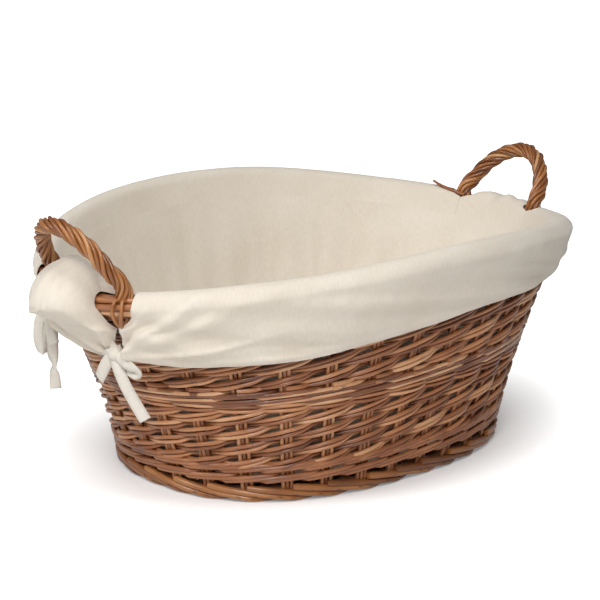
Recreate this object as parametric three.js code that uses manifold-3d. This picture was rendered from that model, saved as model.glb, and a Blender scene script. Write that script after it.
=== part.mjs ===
// A stake-and-strand willow laundry basket: oval, flared, higher along its
// sides than at its ends, with a roped handle at each end and a loose cotton
// liner that rolls over the rim, hangs outside as a skirt and is tied shut
// with tape bows below the handle legs.
//
// Units are millimetres, +Z is up, the long side runs along X, and the foot
// border stands on Z = 0.
//
// The wall is described by one surface.  A point on it is given by a turn
// (0..1 round the basket), a rise (0 at the foot border, 1 at the centre of
// the rim border) and an offset outwards from the middle of the wicker.

import * as THREE from 'three';
import { ParametricGeometry } from 'three/addons/geometries/ParametricGeometry.js';
import { mergeVertices } from 'three/addons/utils/BufferGeometryUtils.js';
import Module from 'manifold-3d';

const wasm = await Module();
wasm.setup();

// ---------------------------------------------------------------- sizes

// Half length, half width and squareness of the oval, and the height of the
// centre line, of the two borders.
const FOOT = { a: 209, b: 156, squareness: 2.45, z: 9 };
const RIM = { a: 301, b: 232, squareness: 2, z: 229 };
const RIM_DIP = 17.5;          // the rim rises at the sides and dips at the ends
const DIP_POWER = 2.5;         // how late up the wall that saddle sets in
const FLARE = 0.65;            // share of the flare that is straight, the rest curves

const GAP = 0.4;               // air left between neighbouring pieces

const STAKE_COUNT = 30;
const STAKE_PHASE = 0.75;      // where round the oval the first stake stands
const STAKE_WIDTH = 12.6;      // three thin rods side by side
const STAKE_THICKNESS = 4;

const FOOT_RADIUS = 9;         // half the width of the foot border
const RIM_RADIUS = 10.5;       // of the rim border under the cloth
const WEAVE_THICKNESS = 3.8;
const WEAVE_SWING = 6.4;         // how far a weaver swings in front and behind

// Rises at which the bands of weaving start and end.
const BASE_WALE = [0.046, 0.152];
const LOWER_RANDING = [0.152, 0.468];
const LOWER_ROWS = 4;
const MID_WALE = [0.468, 0.496];
const UPPER_RANDING = [0.496, 0.892];
const UPPER_ROWS = 5;
const TOP_WALE = [0.892, 0.932];

const BASE_BOTTOM = 4.5;       // the woven base hangs inside the foot border
const BASE_TOP = 14.5;
const BASE_STICK = 5;
const LONG_STICK_PITCH = 80;
const CROSS_STICK_PITCH = 75;

const ROUND_STEPS = 2 * STAKE_COUNT; // facets round the borders and the cloth

const CLOTH = 2;               // drawn thickness of the doubled calico
const LINER_OFFSET = -10.2;    // middle of the cloth, inside the wicker
const ROLL_RADIUS = 12.2;      // middle of the cloth where it rolls over the rim
const HEM_OFFSET = 18;       // how far the skirt stands off the wall at its hem

const LEG_SPACING = 54;        // half the distance between the legs of a handle
// Handles are bent by hand, so the left one stands taller. Rise is from the
// rim's centre line to the handle's, and lean is how far it leans outwards.
const HANDLES = [
  { label: 'left', side: -1, rise: 80, lean: 34 },
  { label: 'right', side: 1, rise: 66, lean: 34 },
];
const CORE_RADIUS = 4.6;
const ROPE_RADIUS = 8.7;
const ROPE_LOBE = 0.8;
const ROPE_TURNS = 5;

const KEYHOLE_RADIUS = 16;
const SLIT = 2;                // width of the open slit below a keyhole
const TAPE_WIDTH = 10;
const TAPE_THICKNESS = 1.4;
const KNOT_RADIUS = 6;

// ------------------------------------------------------------ materials

const willow = (color) => new THREE.MeshStandardMaterial({ color, roughness: 0.45 });
const calico = (color) => new THREE.MeshStandardMaterial({ color, roughness: 0.95 });

const part = new THREE.Group();
part.name = 'laundry_basket';

function add(name, geometry, material) {
  geometry.computeVertexNormals();
  const mesh = new THREE.Mesh(geometry, material);
  mesh.name = name;
  part.add(mesh);
  return mesh;
}

// -------------------------------------------------------------- the wall

function oval({ a, b, squareness }, angle) {
  const c = Math.cos(angle);
  const s = Math.sin(angle);
  const r = (Math.abs(c) ** squareness + Math.abs(s) ** squareness) ** (-1 / squareness);
  return new THREE.Vector2(a * r * c, b * r * s);
}

function outline(angle, rise) {
  const blend = FLARE * rise + (1 - FLARE) * rise * rise;
  return oval(FOOT, angle).lerp(oval(RIM, angle), blend);
}

// Angles that divide the oval, half way up, into equal lengths.
const ANGLE_STEPS = 1440;
const walked = [0];
for (let i = 1; i <= ANGLE_STEPS; i++) {
  const from = outline(((i - 1) / ANGLE_STEPS) * 2 * Math.PI, 0.5);
  const to = outline((i / ANGLE_STEPS) * 2 * Math.PI, 0.5);
  walked.push(walked[i - 1] + from.distanceTo(to));
}

function angleAt(turn) {
  const whole = Math.floor(turn);
  const target = (turn - whole) * walked[ANGLE_STEPS];
  let i = 1;
  while (i < ANGLE_STEPS && walked[i] < target) i++;
  const share = (target - walked[i - 1]) / (walked[i] - walked[i - 1]);
  return (whole + (i - 1 + share) / ANGLE_STEPS) * 2 * Math.PI;
}

function outward(angle, rise) {
  const step = 1e-3;
  const along = outline(angle + step, rise).sub(outline(angle - step, rise)).normalize();
  return new THREE.Vector3(along.y, -along.x, 0);
}

function heightAt(angle, rise) {
  const dip = RIM_DIP * Math.cos(2 * angle) * Math.max(rise, 0) ** DIP_POWER;
  return FOOT.z + (RIM.z - FOOT.z) * rise - dip;
}

function onWall(angle, rise, offset) {
  const flat = outline(angle, rise);
  const point = new THREE.Vector3(flat.x, flat.y, heightAt(angle, rise));
  return point.addScaledVector(outward(angle, rise), offset);
}

// ------------------------------------------------------- building solids

// Skin a row of rings, all with the same number of points.  A looped loft
// joins the last ring to the first, an open one has a flat cap at each end.
function loft(rings, looped = false) {
  const rows = rings.map((points) => [...points, points[0]]);
  if (looped) {
    rows.push(rows[0]);
  } else {
    rows.unshift(gathered(rows[0]));
    rows.push(gathered(rows[rows.length - 1]));
  }
  const along = rows.length - 1;
  const round = rows[0].length - 1;
  const surface = (u, v, target) => {
    target.copy(rows[Math.round(u * along)][Math.round(v * round)]);
  };
  return sealed(new ParametricGeometry(surface, along, round));
}

// A ring drawn together to its centre, which closes the end of a loft.
function gathered(points) {
  const distinct = points.slice(0, -1);
  const centre = distinct.reduce((sum, p) => sum.add(p), new THREE.Vector3());
  centre.divideScalar(distinct.length);
  return points.map(() => centre);
}

// Weld a geometry's seams, drop faces with no area and turn its faces outwards.
function sealed(geometry) {
  geometry.deleteAttribute('normal');
  geometry.deleteAttribute('uv');
  const welded = mergeVertices(geometry);
  const position = welded.getAttribute('position');
  const index = welded.getIndex().array;
  const corners = [new THREE.Vector3(), new THREE.Vector3(), new THREE.Vector3()];
  const kept = [];
  let volume = 0;
  for (let i = 0; i < index.length; i += 3) {
    const face = Array.from(index.slice(i, i + 3));
    if (new Set(face).size < 3) continue;
    corners.forEach((corner, j) => corner.fromBufferAttribute(position, face[j]));
    volume += corners[0].dot(corners[1].clone().cross(corners[2]));
    kept.push(face);
  }
  if (volume < 0) kept.forEach((face) => face.reverse());
  welded.setIndex(kept.flat());
  return welded;
}

function toSolid(geometry) {
  const mesh = new wasm.Mesh({
    numProp: 3,
    vertProperties: new Float32Array(geometry.getAttribute('position').array),
    triVerts: new Uint32Array(geometry.getIndex().array),
  });
  return new wasm.Manifold(mesh);
}

function toGeometry(solid) {
  const mesh = solid.getMesh();
  const geometry = new THREE.BufferGeometry();
  geometry.setAttribute('position', new THREE.Float32BufferAttribute(mesh.vertProperties, 3));
  geometry.setIndex(Array.from(mesh.triVerts));
  return geometry;
}

const joined = (geometries) => wasm.Manifold.union(geometries.map(toSolid));

const cut = (geometry, tools) => toSolid(geometry).subtract(joined(tools));

// Plain bodies, already moved into place.
function box(width, depth, height, centre, turn = 0) {
  const geometry = new THREE.BoxGeometry(width, depth, height);
  return sealed(geometry.rotateZ(turn).translate(centre.x, centre.y, centre.z));
}

function upright(radius, bottom, length, sides) {
  const geometry = new THREE.CylinderGeometry(radius, radius, length, sides);
  geometry.rotateX(Math.PI / 2);
  return sealed(geometry.translate(bottom.x, bottom.y, bottom.z + length / 2));
}

// A ring round the basket: section(angle, step) gives the points of its cross section.
function ring(steps, phase, section) {
  const rings = [];
  for (let i = 0; i < steps; i++) {
    rings.push(section(angleAt((i + phase) / steps), i));
  }
  return loft(rings, true);
}

// Points on both faces of a cloth whose middle line is given, outer face first.
function clothSection(middle, up) {
  const outer = [];
  const inner = [];
  for (let i = 0; i < middle.length; i++) {
    const before = middle[Math.max(i - 1, 0)];
    const after = middle[Math.min(i + 1, middle.length - 1)];
    const along = after.clone().sub(before).normalize();
    const face = along.cross(up).normalize().multiplyScalar(CLOTH / 2);
    outer.push(middle[i].clone().add(face));
    inner.unshift(middle[i].clone().sub(face));
  }
  return [...outer, ...inner];
}

// ---------------------------------------------------------------- wicker

const stakeAngles = [];
for (let i = 0; i < STAKE_COUNT; i++) {
  stakeAngles.push(angleAt((i + STAKE_PHASE) / STAKE_COUNT));
}

// The foot border: a fat plait of rods with a flat underside to stand on.
const footSection = (angle) => {
  const plait = 0.6 * Math.cos(STAKE_COUNT * angle);
  const points = [];
  for (let j = 0; j < 8; j++) {
    const around = ((j + 0.5) / 8) * 2 * Math.PI;
    const across = (FOOT_RADIUS + plait) * Math.cos(around);
    const up = Math.sin(around) / Math.sin((3 / 8) * Math.PI);
    points.push(onWall(angle, 0, across).setZ(FOOT_RADIUS + FOOT_RADIUS * up));
  }
  return points;
};
add('foot_border', ring(ROUND_STEPS, 0, footSection), willow('#b07a48'));

// One stake of three rods side by side, from the foot border to the rim border.
function stake(angle) {
  const bottom = 2 * FOOT_RADIUS + GAP;
  const low = (bottom - FOOT.z) / (RIM.z - FOOT.z);
  const high = TOP_WALE[1];
  const levels = 5;
  const rings = [];
  for (let i = 0; i <= levels; i++) {
    const rise = low + ((high - low) * i) / levels;
    const middle = onWall(angle, rise, 0);
    const out = outward(angle, rise);
    const along = new THREE.Vector3(-out.y, out.x, 0);
    rings.push([
      [-STAKE_WIDTH / 2, 0],
      [-STAKE_WIDTH / 3, STAKE_THICKNESS / 2],
      [STAKE_WIDTH / 3, STAKE_THICKNESS / 2],
      [STAKE_WIDTH / 2, 0],
      [STAKE_WIDTH / 3, -STAKE_THICKNESS / 2],
      [-STAKE_WIDTH / 3, -STAKE_THICKNESS / 2],
    ].map(([x, y]) => middle.clone().addScaledVector(along, x).addScaledVector(out, y)));
  }
  return loft(rings);
}
stakeAngles.forEach((angle, i) => {
  add(`stake_${String(i + 1).padStart(2, '0')}`, stake(angle), willow('#8d5a35'));
});

// A round of weaving that passes in front of one stake and behind the next.
function weavingRow(low, high, parity) {
  const trim = GAP / 2 / (RIM.z - FOOT.z);
  return ring(STAKE_COUNT, STAKE_PHASE, (angle, i) => {
    const swing = (i + parity) % 2 === 0 ? WEAVE_SWING : -WEAVE_SWING;
    const half = WEAVE_THICKNESS / 2;
    return [
      onWall(angle, low + trim, swing - half),
      onWall(angle, low + trim, swing + half),
      onWall(angle, high - trim, swing + half),
      onWall(angle, high - trim, swing - half),
    ];
  });
}

function band(prefix, [low, high], rows, firstParity, color) {
  const pitch = (high - low) / rows;
  for (let i = 0; i < rows; i++) {
    const name = rows === 1 ? prefix : `${prefix}_${i + 1}`;
    const row = weavingRow(low + pitch * i, low + pitch * (i + 1), firstParity + i);
    add(name, row, willow(color));
  }
}
band('base_wale', BASE_WALE, 1, 0, '#7a4a2a');
band('lower_randing', LOWER_RANDING, LOWER_ROWS, 1, '#9a6640');
band('mid_wale', MID_WALE, 1, 1, '#b98858');
band('upper_randing', UPPER_RANDING, UPPER_ROWS, 0, '#9a6640');
band('top_wale', TOP_WALE, 1, 1, '#7a4a2a');

// The woven base: a lattice of sticks, and the weaving that wraps them.
function baseSticks(grow) {
  const z = (BASE_BOTTOM + BASE_TOP) / 2;
  const side = BASE_STICK + 2 * grow;
  const power = FOOT.squareness;
  const inset = FOOT_RADIUS + BASE_STICK;
  const chord = (across, along, at) => {
    const share = (Math.abs(at) + BASE_STICK) / (across - FOOT_RADIUS);
    return 2 * (along - inset) * (1 - share ** power) ** (1 / power) + 40 * grow;
  };
  const sticks = [];
  for (let i = -1; i <= 1; i++) {
    const y = i * LONG_STICK_PITCH;
    sticks.push(box(chord(FOOT.b, FOOT.a, y), side, side, new THREE.Vector3(0, y, z)));
  }
  for (let i = -2; i <= 2; i++) {
    const x = i * CROSS_STICK_PITCH;
    sticks.push(box(side, chord(FOOT.a, FOOT.b, x), side, new THREE.Vector3(x, 0, z)));
  }
  return sticks;
}

function plate(bottom, top, offset, steps) {
  const level = (z) => {
    const points = [];
    for (let i = 0; i < steps; i++) {
      points.push(onWall(angleAt(i / steps), 0, offset).setZ(z));
    }
    return points;
  };
  return loft([level(bottom), level(top)]);
}
const basePlate = plate(BASE_BOTTOM, BASE_TOP, -FOOT_RADIUS - 3 * GAP, 48);
add('base_slath', toGeometry(joined(baseSticks(0))), willow('#6f4326'));
add('base_weave', toGeometry(cut(basePlate, baseSticks(GAP))), willow('#94603a'));

// --------------------------------------------------------------- handles

const LEG_ANGLE = Math.asin(LEG_SPACING / RIM.b);

function handleCurve({ side, rise, lean }) {
  const foot = onWall(LEG_ANGLE, 1, 0);
  const top = onWall(0, 1, 0);
  const height = rise - (foot.z - top.z);
  const points = [
    [0, 1, -RIM_RADIUS + GAP],
    [0, 1, 3],
    [0, 1, 14],
    [0.1, 0.985, 0.32 * height],
    [0.36, 0.91, 0.48 * height],
    [0.64, 0.72, 0.73 * height],
    [0.89, 0.4, 0.925 * height],
    [1, 0, height],
  ].map(([out, y, z]) => [foot.x + out * (top.x + lean - foot.x), y * foot.y, foot.z + z]);
  const mirrored = points.slice(0, -1).reverse().map(([x, y, z]) => [x, -y, z]);
  const path = [...points, ...mirrored].map(([x, y, z]) => new THREE.Vector3(side * x, y, z));
  return new THREE.CatmullRomCurve3(path);
}

// Rings of points round a curve between two distances along it (0..1).
function ringsAlong(curve, from, to, steps, sides, radiusAt) {
  const rings = [];
  const crown = curve.getPointAt(0.5).sub(curve.getPointAt(0));
  const across = new THREE.Vector3(crown.z, 0, -crown.x);
  for (let i = 0; i <= steps; i++) {
    const t = from + ((to - from) * i) / steps;
    const centre = curve.getPointAt(t);
    const along = curve.getTangentAt(t);
    const other = along.clone().cross(across).normalize();
    const flat = other.clone().cross(along);
    const points = [];
    for (let j = 0; j < sides; j++) {
      const around = (j / sides) * 2 * Math.PI;
      const radius = radiusAt(around, i / steps);
      points.push(centre.clone()
        .addScaledVector(flat, radius * Math.cos(around))
        .addScaledVector(other, radius * Math.sin(around)));
    }
    rings.push(points);
  }
  return rings;
}

const legBores = [];
for (const handle of HANDLES) {
  const { label } = handle;
  const curve = handleCurve(handle);
  const core = loft(ringsAlong(curve, 0, 1, 24, 6, () => CORE_RADIUS));
  add(`${label}_handle_bow`, core, willow('#6f4326'));

  // The rope of twisted rods is a sleeve on the bow, from border to border.
  const start = (RIM_RADIUS * 2 + 1.5) / curve.getLength();
  const lobes = (around, t) => {
    return ROPE_RADIUS + ROPE_LOBE * Math.cos(3 * around - t * ROPE_TURNS * 2 * Math.PI);
  };
  const bore = CORE_RADIUS + 2 * GAP;
  const outside = ringsAlong(curve, start, 1 - start, 24, 9, lobes);
  const inside = ringsAlong(curve, start, 1 - start, 24, 9, () => bore);
  add(`${label}_handle_rope`, loft([...outside, ...inside.reverse()], true), willow('#a06a42'));

  for (const end of [curve.getPointAt(0), curve.getPointAt(1)]) {
    legBores.push(upright(CORE_RADIUS + GAP, end.clone().setZ(end.z - 20), 60, 12));
  }
}

// The rim border, drilled for the four legs.
const rimSection = (angle) => {
  const out = outward(angle, 1);
  const centre = onWall(angle, 1, 0);
  const points = [];
  for (let j = 0; j < 8; j++) {
    const around = (j / 8) * 2 * Math.PI;
    points.push(centre.clone()
      .addScaledVector(out, RIM_RADIUS * Math.cos(around))
      .setZ(centre.z + RIM_RADIUS * Math.sin(around)));
  }
  return points;
};
const rimBorder = cut(ring(ROUND_STEPS, 0, rimSection), legBores);
add('rim_border', toGeometry(rimBorder), willow('#7a4a2a'));

// ----------------------------------------------------------------- liner

const ripple = (angle, count, phase) => Math.sin(count * angle + phase);

// The inner wall of the bag hangs from the rim to the floor in soft folds.
const wallSection = (angle) => {
  const rises = [0.044, 0.2, 0.5, 0.8, 0.945];
  const middle = rises.map((rise) => {
    const swell = Math.sin(Math.PI * Math.min(1, rise));
    const fold = -1.3 * swell * (1 + ripple(angle, 11, 1.3));
    const tuck = (LINER_OFFSET + ROLL_RADIUS) * THREE.MathUtils.smoothstep(rise, 0.75, 0.95);
    return onWall(angle, rise, LINER_OFFSET + fold - tuck);
  });
  const out = outward(angle, 0.5);
  return clothSection(middle, new THREE.Vector3(-out.y, out.x, 0));
};
add('liner_wall', ring(ROUND_STEPS, 0, wallSection), calico('#d8cbb5'));

const floorBottom = BASE_TOP + GAP;
const floor = plate(floorBottom, floorBottom + CLOTH, -FOOT_RADIUS - 2 * GAP, 48);
add('liner_floor', floor, calico('#d8cbb5'));

// The skirt: up from the bag, over the rim border and down outside to the hem.
const hemRise = (angle) => 0.742 + 0.06 * Math.cos(2 * angle + 2);

const skirtSection = (angle) => {
  const out = outward(angle, 1);
  const centre = onWall(angle, 1, 0);
  const middle = [onWall(angle, 0.95, -ROLL_RADIUS)];
  for (const degrees of [180, 135, 90, 45, 0, -30]) {
    const around = THREE.MathUtils.degToRad(degrees);
    middle.push(centre.clone()
      .addScaledVector(out, ROLL_RADIUS * Math.cos(around))
      .setZ(centre.z + ROLL_RADIUS * Math.sin(around)));
  }
  const hem = hemRise(angle);
  for (const share of [0.5, 0.75, 1]) {
    const stand = ROLL_RADIUS + (HEM_OFFSET - ROLL_RADIUS) * share;
    const fold = 1.6 * share * (1 + ripple(angle, 13, 0.4));
    middle.push(onWall(angle, 1 + (hem - 1) * share, stand + fold));
  }
  return clothSection(middle, new THREE.Vector3(-out.y, out.x, 0));
};

// Round each handle leg the cloth has a keyhole, and below it a slit to the hem.
function keyhole(x, y) {
  const side = Math.sign(x);
  const leg = new THREE.Vector3(x, y, onWall(LEG_ANGLE, 1, 0).z);
  const reach = 60;
  const over = upright(KEYHOLE_RADIUS, leg, reach, 16);
  const outside = new THREE.CylinderGeometry(KEYHOLE_RADIUS, KEYHOLE_RADIUS, reach, 16);
  outside.rotateZ(Math.PI / 2).translate(x + (side * reach) / 2, y, leg.z - 4);
  const middle = new THREE.Vector3(x + side * 30, y, leg.z - 20);
  return [over, sealed(outside), box(2 * reach, SLIT, 2 * reach, middle)];
}
const legX = onWall(LEG_ANGLE, 1, 0).x;
const keyholes = [];
for (const x of [-legX, legX]) {
  for (const y of [-LEG_SPACING, LEG_SPACING]) {
    keyholes.push(...keyhole(x, y));
  }
}
const skirt = cut(ring(ROUND_STEPS, 0, skirtSection), keyholes);
const nameOf = (x, y) => {
  if (Math.abs(x) < 100) return y < 0 ? 'skirt_front' : 'skirt_back';
  return x < 0 ? 'flap_left' : 'flap_right';
};
for (const piece of skirt.decompose()) {
  const { min, max } = piece.boundingBox();
  const name = nameOf((min[0] + max[0]) / 2, (min[1] + max[1]) / 2);
  add(name, toGeometry(piece), calico('#e6dfd2'));
}

// ------------------------------------------------------------- tape bows

// A flat tape along a curve, its width lying along the given direction.
function tape(points, across, steps) {
  const curve = new THREE.CatmullRomCurve3(points);
  const rings = [];
  for (let i = 0; i <= steps; i++) {
    const centre = curve.getPointAt(i / steps);
    const width = across.clone().multiplyScalar(TAPE_WIDTH / 2);
    const face = curve.getTangentAt(i / steps).cross(across).normalize();
    face.multiplyScalar(TAPE_THICKNESS / 2);
    rings.push([
      centre.clone().add(width).add(face),
      centre.clone().sub(width).add(face),
      centre.clone().sub(width).sub(face),
      centre.clone().add(width).sub(face),
    ]);
  }
  return loft(rings);
}

// Knot, two loops and two tails, tied flat against the skirt.
function bow(angle, rise, mirror) {
  const out = outward(angle, rise);
  const along = new THREE.Vector3(-out.y, out.x, 0).multiplyScalar(mirror);
  const up = new THREE.Vector3(0, 0, 1);
  const knot = onWall(angle, rise, HEM_OFFSET + 13);
  const place = (x, z, y) => knot.clone()
    .addScaledVector(along, x)
    .addScaledVector(up, z)
    .addScaledVector(out, y);
  const lump = new THREE.SphereGeometry(KNOT_RADIUS, 8, 6).translate(knot.x, knot.y, knot.z);
  const loops = [-1, 1].map((way) => tape([
    place(0, 0, 0),
    place(way * 14, 4, 4),
    place(way * 26, -1, 2),
    place(way * 24, -5, -4),
    place(way * 12, -3, -4.5),
    place(0, 0, 0),
  ], up, 7));
  const tails = [-1, 1].map((way) => tape([
    place(0, 0, 0),
    place(way * 6, -18, 0),
    place(way * 9, -42, -4),
    place(way * 15, -66, -12),
  ], along, 3));
  return toGeometry(joined([sealed(lump), ...loops, ...tails]));
}

// Each bow sits a hand's breadth along from its leg. The two ends mirror each other.
const NEAR_BOW = 0.093;
const FAR_BOW = 0.406;
const bows = [
  ['left_near_bow', Math.PI + NEAR_BOW, 0.77, 1],
  ['left_far_bow', Math.PI - FAR_BOW, 0.75, 1],
  ['right_near_bow', -NEAR_BOW, 0.77, -1],
  ['right_far_bow', FAR_BOW, 0.75, -1],
];
for (const [name, angle, rise, mirror] of bows) {
  add(name, bow(angle, rise, mirror), calico('#efe9dd'));
}

export default part;
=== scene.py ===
# %% [markdown]
# # A lined willow laundry basket
#
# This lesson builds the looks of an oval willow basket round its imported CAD
# frame: stakes, paired rods woven in and out of them, plaited borders, roped
# handles, and a loose calico liner that rolls over the rim and is tied with
# tape bows. Everything is in metres with +Z up, and the left handle is at -X.

import math
import random

import bmesh
import bpy
from mathutils import Matrix, Vector, noise


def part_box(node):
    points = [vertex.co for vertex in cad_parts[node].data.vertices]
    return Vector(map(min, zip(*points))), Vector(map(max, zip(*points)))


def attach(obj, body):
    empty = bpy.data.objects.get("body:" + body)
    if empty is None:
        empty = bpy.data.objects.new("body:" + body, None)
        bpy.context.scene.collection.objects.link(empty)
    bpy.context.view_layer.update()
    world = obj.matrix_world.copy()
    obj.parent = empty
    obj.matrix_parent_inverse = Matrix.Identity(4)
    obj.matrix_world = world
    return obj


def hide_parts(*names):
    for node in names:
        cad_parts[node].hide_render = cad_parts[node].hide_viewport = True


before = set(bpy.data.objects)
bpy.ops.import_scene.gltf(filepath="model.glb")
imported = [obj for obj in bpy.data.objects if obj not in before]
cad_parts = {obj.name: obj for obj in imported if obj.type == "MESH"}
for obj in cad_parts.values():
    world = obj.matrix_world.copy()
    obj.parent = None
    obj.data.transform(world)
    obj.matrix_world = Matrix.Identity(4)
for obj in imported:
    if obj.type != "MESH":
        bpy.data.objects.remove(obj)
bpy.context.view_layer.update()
MM = 0.001

# %% [markdown]
# ## The shape of the wall
#
# A basket maker shapes the wall by bending the stakes outwards over a last.
# Here one smooth surface does that job: every rod and every fold of cloth is
# placed on it by an angle, a rise (0 at the foot border, 1 at the rim) and an
# offset outwards. Its sizes come from the two borders of the CAD frame.

# %% Read the sizes of the borders
foot_low, foot_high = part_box("foot_border")
rim_low, rim_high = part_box("rim_border")
FOOT_RADIUS = (foot_high.z - foot_low.z) / 2
RIM_RADIUS = 10.5 * MM
FOOT_SQUARENESS = 2.45
FOOT = (foot_high.x - FOOT_RADIUS, foot_high.y - FOOT_RADIUS, FOOT_SQUARENESS)
RIM = (rim_high.x - RIM_RADIUS, rim_high.y - RIM_RADIUS, 2.0)
FOOT_Z = FOOT_RADIUS
RIM_Z = (rim_low.z + rim_high.z) / 2
RIM_DIP = (rim_high.z - rim_low.z) / 2 - RIM_RADIUS
WALL_HEIGHT = RIM_Z - FOOT_Z
STAKES = sum(1 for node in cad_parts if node.startswith("stake_"))
STAKE_PHASE = 0.75
print("foot", FOOT, "rim", RIM, "dip", RIM_DIP, "stakes", STAKES)


# %% Place points on the wall
def oval(size, angle):
    """A point of an oval. Squareness 2 is an ellipse, more is fuller at the corners."""
    a, b, squareness = size
    c, s = math.cos(angle), math.sin(angle)
    r = (abs(c) ** squareness + abs(s) ** squareness) ** (-1 / squareness)
    return a * r * c, b * r * s


def outline(angle, rise):
    """The wall seen from above, at a height. The flare grows towards the rim."""
    blend = 0.65 * rise + 0.35 * rise * rise
    x0, y0 = oval(FOOT, angle)
    x1, y1 = oval(RIM, angle)
    return x0 + (x1 - x0) * blend, y0 + (y1 - y0) * blend


def outward(angle, rise):
    """The level direction square to the wall."""
    x0, y0 = outline(angle - 1e-3, rise)
    x1, y1 = outline(angle + 1e-3, rise)
    return Vector((y1 - y0, x0 - x1, 0)).normalized()


def on_wall(angle, rise, offset=0.0):
    """A point on the wall, lower towards the ends by the dip of the rim."""
    x, y = outline(angle, rise)
    dip = RIM_DIP * math.cos(2 * angle) * max(rise, 0) ** 2.5
    point = Vector((x, y, FOOT_Z + WALL_HEIGHT * rise - dip))
    return point + outward(angle, rise) * offset


# %% Share the wall out evenly between the stakes
ANGLES = 1440
walked = [0.0]
for i in range(ANGLES):
    x0, y0 = outline(i / ANGLES * math.tau, 0.5)
    x1, y1 = outline((i + 1) / ANGLES * math.tau, 0.5)
    walked.append(walked[-1] + math.hypot(x1 - x0, y1 - y0))


def angle_at(stakes_along):
    """Angle of a place counted in stakes round the basket."""
    turn = (stakes_along + STAKE_PHASE) / STAKES
    whole = math.floor(turn)
    target = (turn - whole) * walked[-1]
    low, high = 0, ANGLES
    while high - low > 1:
        middle = (low + high) // 2
        if walked[middle] <= target:
            low = middle
        else:
            high = middle
    share = (target - walked[low]) / (walked[high] - walked[low])
    return (whole + (low + share) / ANGLES) * math.tau


PITCH = walked[-1] / STAKES
print(f"stakes stand {PITCH / MM:.1f} mm apart half way up")

# %% [markdown]
# ## Rods from curves
#
# Willow rods are long tapering cylinders, so each is drawn as the line it
# follows and Blender's curve bevel gives it its thickness, which is quicker
# and rounder than skinning it by hand. The curve is then made a mesh. Each rod
# keeps a tone of its own, because no two rods steam to the same brown, and its
# UV map is stretched to real metres so that streaks run along the rod.

# %% Turn lines into rods
TONES = 24
random.seed(11)


def wander(seed, along, scale):
    """Smooth random sway, from -1 to 1, that differs from rod to rod."""
    return noise.noise(Vector((seed * 7.31, along * scale, seed * 1.7)))


def willow_rods(name, rods, finish, detail=1, painted_shade_factor=1.0):
    """rods is a list of (points, radii). The last argument is the tone of the lightest rod; below 1
    it darkens every rod of the piece as painted shade.
    """
    curve = bpy.data.curves.new(name, "CURVE")
    curve.dimensions = "3D"
    curve.bevel_depth = 1.0
    curve.bevel_resolution = detail
    curve.use_fill_caps = True
    for _ in range(TONES):
        curve.materials.append(None)
    for points, radii in rods:
        spline = curve.splines.new("POLY")
        spline.points.add(len(points) - 1)
        spline.points.foreach_set("co", [c for p in points for c in (*p, 1.0)])
        spline.points.foreach_set("radius", radii)
        spline.material_index = random.randrange(TONES)
    line = bpy.data.objects.new(name + "_line", curve)
    bpy.context.scene.collection.objects.link(line)
    bpy.context.view_layer.update()
    graph = bpy.context.evaluated_depsgraph_get()
    mesh = bpy.data.meshes.new_from_object(line.evaluated_get(graph), depsgraph=graph)
    bpy.data.objects.remove(line)
    mesh.name = name
    tones = [0] * len(mesh.polygons)
    mesh.polygons.foreach_get("material_index", tones)
    tone = mesh.attributes.new("tone", "FLOAT", "FACE")
    tone.data.foreach_set("value", [painted_shade_factor * t / (TONES - 1) for t in tones])
    length = sum((a - b).length for ps, _ in rods for a, b in zip(ps, ps[1:])) / len(rods)
    girth = math.tau * sum(rods[0][1]) / len(rods[0][1])
    layer = mesh.uv_layers.active
    for corner in layer.uv:
        corner.vector = (corner.vector.x * length, corner.vector.y * girth)
    mesh.materials.clear()
    mesh.polygons.foreach_set("material_index", [0] * len(mesh.polygons))
    mesh.materials.append(finish)
    piece = bpy.data.objects.new(name, mesh)
    bpy.context.scene.collection.objects.link(piece)
    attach(piece, "root")
    print(f"{name}: {len(rods)} rods, {len(mesh.polygons)} faces, {length:.2f} m each")
    return piece


# %% [markdown]
# ## Colours and nodes
#
# Colours are picked as sRGB hex values, the way a paint chart gives them, and
# one function turns them to the linear values that Blender's shaders expect.
# A second small function adds a node and joins it up.

# %% Colour and node helpers
def colour(hex_value):
    parts = [int(hex_value[i : i + 2], 16) / 255 for i in (1, 3, 5)]
    linear = [c / 12.92 if c <= 0.04045 else ((c + 0.055) / 1.055) ** 2.4 for c in parts]
    return (*linear, 1.0)


def add_node(tree, kind, settings=None, **links):
    """Adds a node. Settings are properties or sockets by name. Each link gives a
    socket, by name or as in0, in1 by number, an output to join or a plain number."""
    node = tree.nodes.new(kind)
    for key, value in (settings or {}).items():
        if key in node.inputs:
            node.inputs[key].default_value = value
        else:
            setattr(node, key, value)
    for key, source in links.items():
        name = key.replace("_", " ")
        target = node.inputs[int(key[2:])] if key.startswith("in") else node.inputs[name]
        if isinstance(source, float):
            target.default_value = source
        else:
            tree.links.new(source, target)
    return node


def maths(tree, operation, first, second):
    """A math node on two values, each an output socket or a plain number."""
    node = add_node(tree, "ShaderNodeMath", {"operation": operation}, in0=first, in1=second)
    return node.outputs[0]


def new_finish(name):
    material = bpy.data.materials.new(name)
    material.use_nodes = True
    tree = material.node_tree
    return material, tree, tree.nodes["Principled BSDF"]


def set_ramp(ramp, stops):
    elements = ramp.color_ramp.elements
    while len(elements) < len(stops):
        elements.new(0.5)
    for element, (place, hex_value) in zip(elements, stops):
        element.position = place
        element.color = colour(hex_value)


# %% [markdown]
# ## Steamed willow
#
# The rods are willow boiled in its bark and then stripped, called buff or
# steamed willow. Tannin stains it from red-brown to tan, each rod differently,
# in streaks that run along the rod, with small dark eyes where buds sat. The
# peeled skin has a low natural shine, so the roughness is middling under a
# thin coat. Streaks are about 1 mm wide and 60 mm long.

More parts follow.
